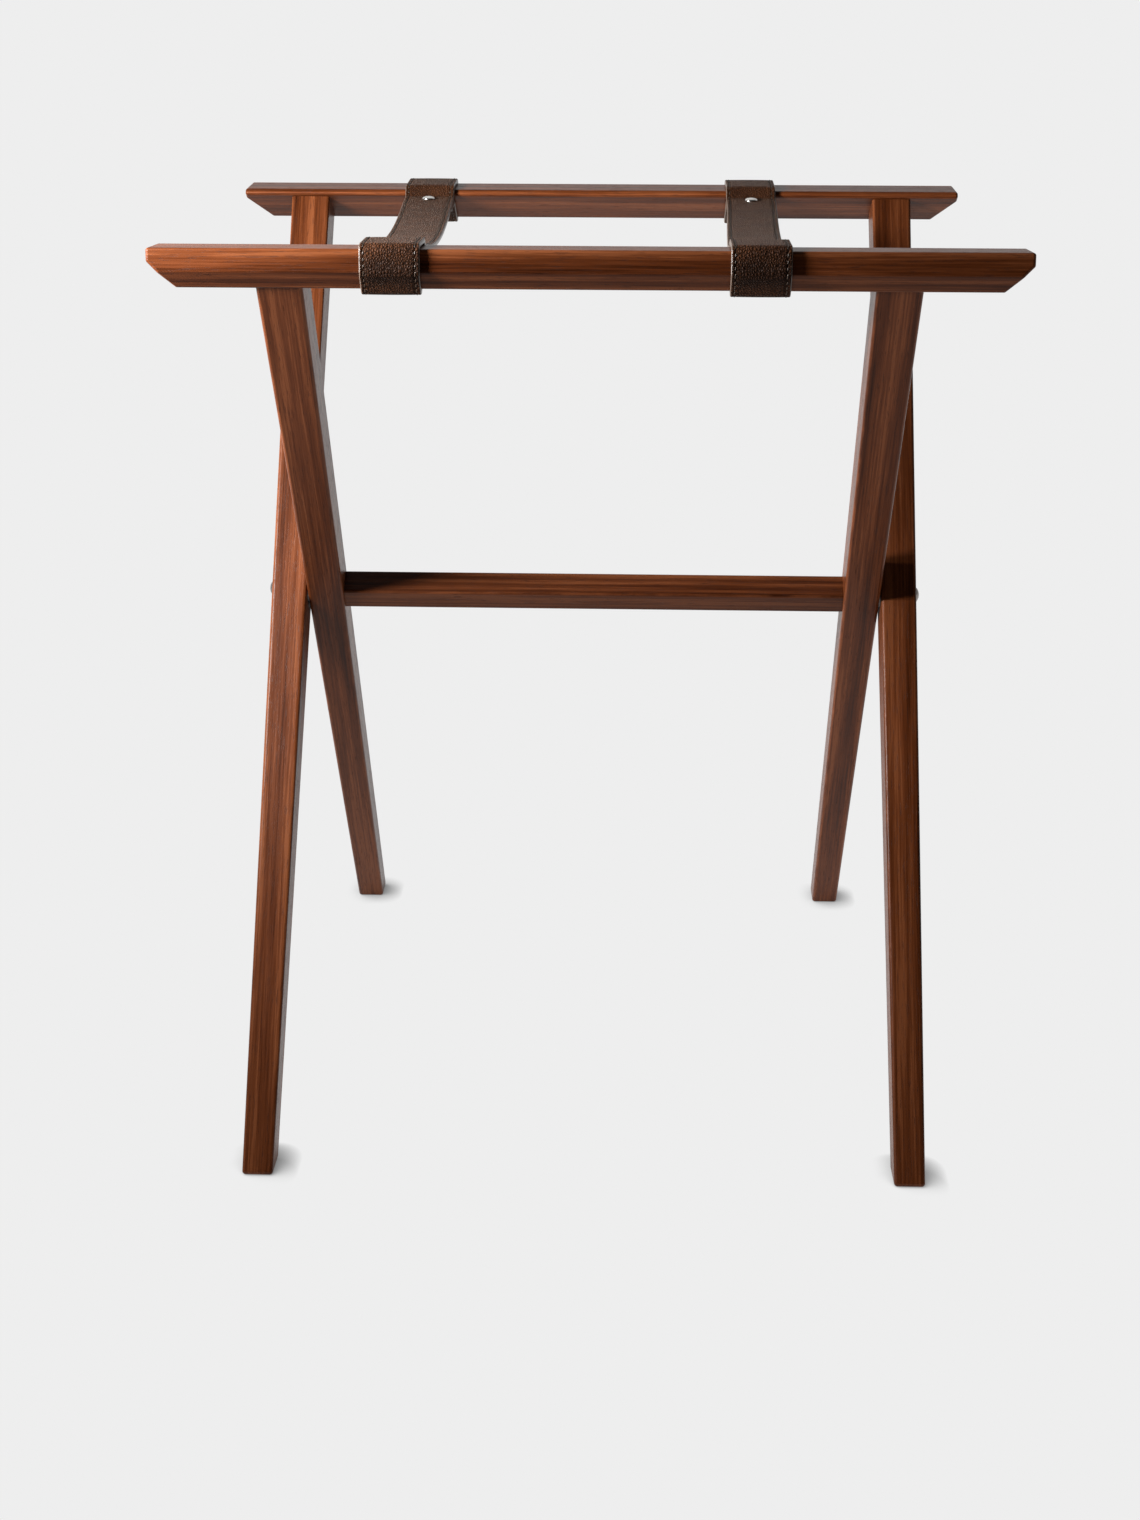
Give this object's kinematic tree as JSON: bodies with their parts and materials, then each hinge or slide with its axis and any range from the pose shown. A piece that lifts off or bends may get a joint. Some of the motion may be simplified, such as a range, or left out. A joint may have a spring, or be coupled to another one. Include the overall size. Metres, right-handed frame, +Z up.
{
  "type": "folding luggage rack",
  "caption": "Folding luggage rack: crossed pairs of tapered wooden legs under two shaped rails, a stretcher at the pivot, and hanging leather straps studded round the rails.",
  "frame": {"origin": "on the floor, below the middle of the pivot axis", "axes": "+Z up, X along the rails, the front rail and the viewer on the -Y side"},
  "size_m": [0.533, 0.4924, 0.6101],
  "materials": {
    "walnut": "satin oiled walnut, grain along each piece",
    "dowel_beech": "plain",
    "strap_leather": "pebbled, cut edges",
    "stud_steel": "satin",
    "pivot_steel": "polished dome",
    "pivot_brass": "turned"
  },
  "bodies": {
    "inner_frame": {"front_rail": "walnut", "inner_leg_left": "walnut", "inner_leg_right": "walnut", "stretcher": "walnut", "front_rail_dowels": "dowel_beech", "pivot_bolt_left": "pivot_steel", "pivot_washer_left": "pivot_steel", "pivot_insert_left": "pivot_brass", "strap_left_span": "strap_leather", "strap_left_front_loop": "strap_leather", "strap_stud_left_front": "stud_steel", "strap_screw_left_front": "stud_steel", "pivot_bolt_right": "pivot_steel", "pivot_washer_right": "pivot_steel", "pivot_insert_right": "pivot_brass", "strap_right_span": "strap_leather", "strap_right_front_loop": "strap_leather", "strap_stud_right_front": "stud_steel", "strap_screw_right_front": "stud_steel"},
    "outer_frame": {"back_rail": "walnut", "outer_leg_left": "walnut", "outer_leg_right": "walnut", "back_rail_dowels": "dowel_beech", "pivot_bush_left": "pivot_brass", "strap_left_back_loop": "strap_leather", "strap_stud_left_back": "stud_steel", "strap_screw_left_back": "stud_steel", "pivot_bush_right": "pivot_brass", "strap_right_back_loop": "strap_leather", "strap_stud_right_back": "stud_steel", "strap_screw_right_back": "stud_steel"}
  },
  "joints": [
    {"name": "fold", "type": "hinge", "parent": "inner_frame", "child": "outer_frame", "pos_m": [0, 0, 0.34], "axis": [1, 0, 0], "range_deg": [0, 55], "deforming": ["strap_left_span", "strap_right_span"]}
  ]
}
